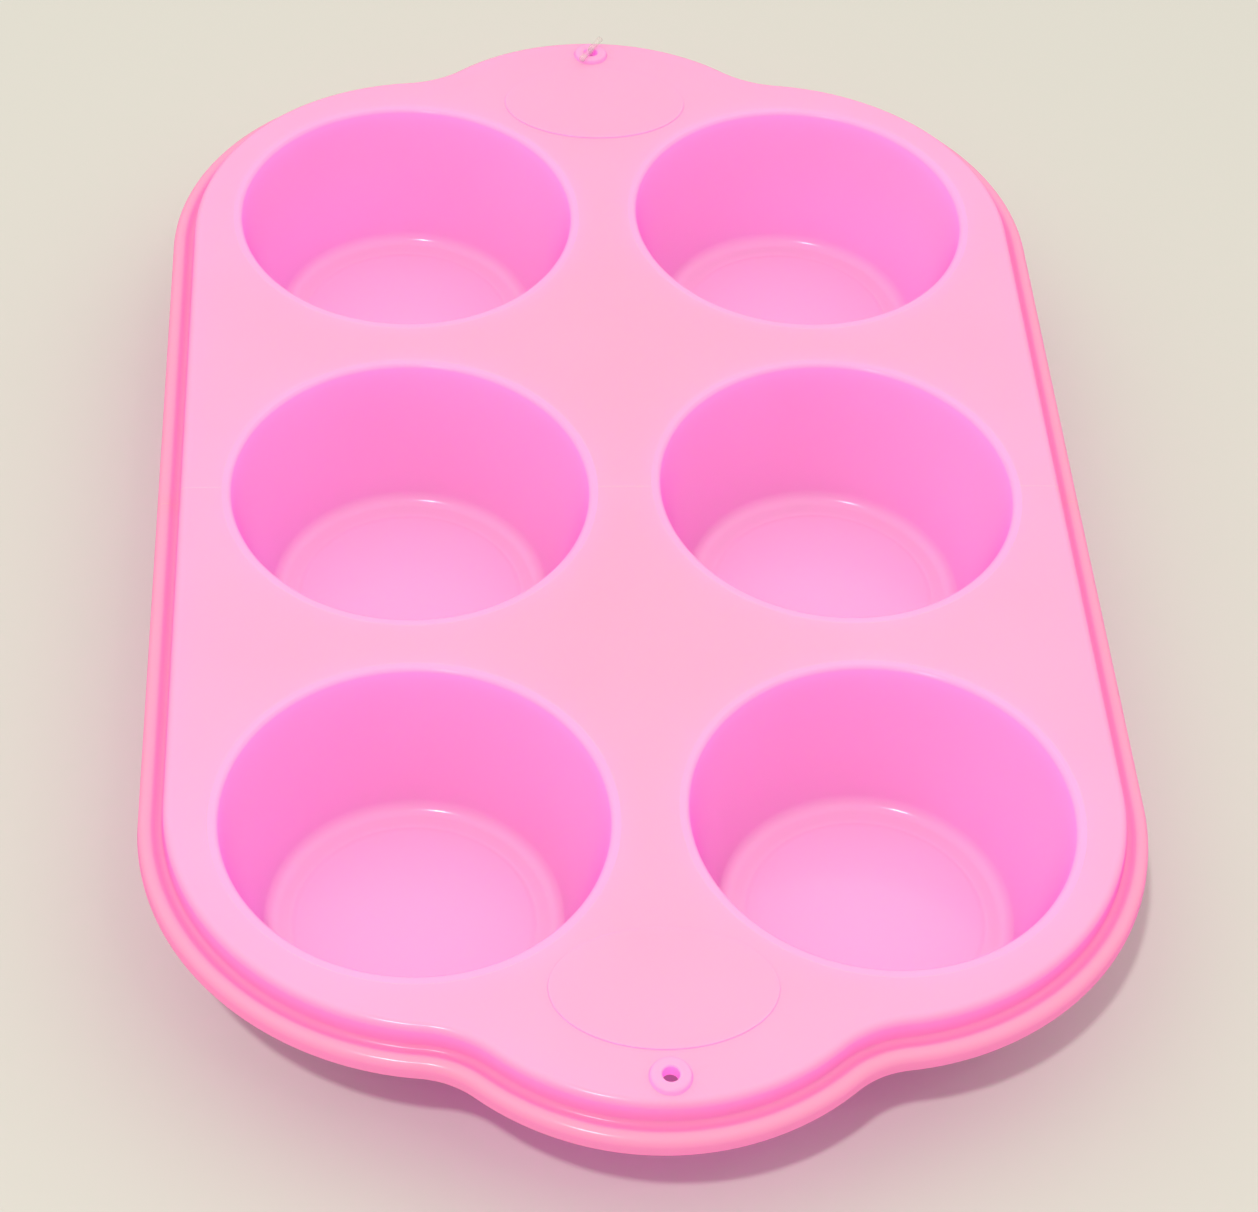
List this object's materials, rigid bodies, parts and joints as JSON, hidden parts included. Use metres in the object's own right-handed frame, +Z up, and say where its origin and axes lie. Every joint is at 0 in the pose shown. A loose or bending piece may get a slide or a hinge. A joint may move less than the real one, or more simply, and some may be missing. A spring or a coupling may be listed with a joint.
{
  "type": "silicone soap mould",
  "caption": "Flexible silicone mould with round tapered cavities in a flat deck, a stepped and beaded rim, and a rounded tab with a hanging hole at each end.",
  "frame": {"origin": "middle of the footprint, on the plane that the mould stands on", "axes": "+Z up out of the cavities, +Y along the mould to the rear tab that holds the tag pin, +X across it to the right"},
  "size_m": [0.184, 0.3004, 0.0353],
  "materials": {
    "deck_silicone": "satin pink silicone, slightly translucent",
    "rim_silicone": "satin pink silicone with a soft gloss on the bead",
    "cup_silicone": "satin pink silicone, slightly translucent",
    "clear_plastic": "clear polypropylene tag pin"
  },
  "bodies": {
    "middle_row": {"middle_deck": "deck_silicone", "left_rim": "rim_silicone", "right_rim": "rim_silicone", "middle_left_cup": "cup_silicone", "middle_right_cup": "cup_silicone"},
    "front_row": {"front_deck": "deck_silicone", "front_left_rim": "rim_silicone", "front_right_rim": "rim_silicone", "front_tab_rim": "rim_silicone", "front_left_cup": "cup_silicone", "front_right_cup": "cup_silicone", "front_eyelet": "deck_silicone", "front_plate": "deck_silicone"},
    "rear_row": {"rear_deck": "deck_silicone", "rear_left_rim": "rim_silicone", "rear_right_rim": "rim_silicone", "rear_tab_rim": "rim_silicone", "rear_left_cup": "cup_silicone", "rear_right_cup": "cup_silicone", "rear_eyelet": "deck_silicone", "rear_plate": "deck_silicone", "tag_pin": "clear_plastic"},
    "front_left_floor": {"front_left_floor": "cup_silicone"},
    "front_right_floor": {"front_right_floor": "cup_silicone"},
    "middle_left_floor": {"middle_left_floor": "cup_silicone"},
    "middle_right_floor": {"middle_right_floor": "cup_silicone"},
    "rear_left_floor": {"rear_left_floor": "cup_silicone"},
    "rear_right_floor": {"rear_right_floor": "cup_silicone"}
  },
  "joints": [
    {"name": "front_row_bend", "type": "hinge", "parent": "middle_row", "child": "front_row", "pos_m": [0, -0.0417, 0.0328], "axis": [-1, 0, 0], "range_deg": [0, 60], "stiffness_Nm_per_rad": 0.12},
    {"name": "rear_row_bend", "type": "hinge", "parent": "middle_row", "child": "rear_row", "pos_m": [0, 0.0417, 0.0328], "axis": [1, 0, 0], "range_deg": [0, 60], "stiffness_Nm_per_rad": 0.12},
    {"name": "front_left_push", "type": "slide", "parent": "front_row", "child": "front_left_floor", "axis": [0, 0, 1], "range_m": [0, 0.015], "stiffness_N_per_m": 400},
    {"name": "front_right_push", "type": "slide", "parent": "front_row", "child": "front_right_floor", "axis": [0, 0, 1], "range_m": [0, 0.015], "stiffness_N_per_m": 400},
    {"name": "middle_left_push", "type": "slide", "parent": "middle_row", "child": "middle_left_floor", "axis": [0, 0, 1], "range_m": [0, 0.015], "stiffness_N_per_m": 400},
    {"name": "middle_right_push", "type": "slide", "parent": "middle_row", "child": "middle_right_floor", "axis": [0, 0, 1], "range_m": [0, 0.015], "stiffness_N_per_m": 400},
    {"name": "rear_left_push", "type": "slide", "parent": "rear_row", "child": "rear_left_floor", "axis": [0, 0, 1], "range_m": [0, 0.015], "stiffness_N_per_m": 400},
    {"name": "rear_right_push", "type": "slide", "parent": "rear_row", "child": "rear_right_floor", "axis": [0, 0, 1], "range_m": [0, 0.015], "stiffness_N_per_m": 400}
  ]
}
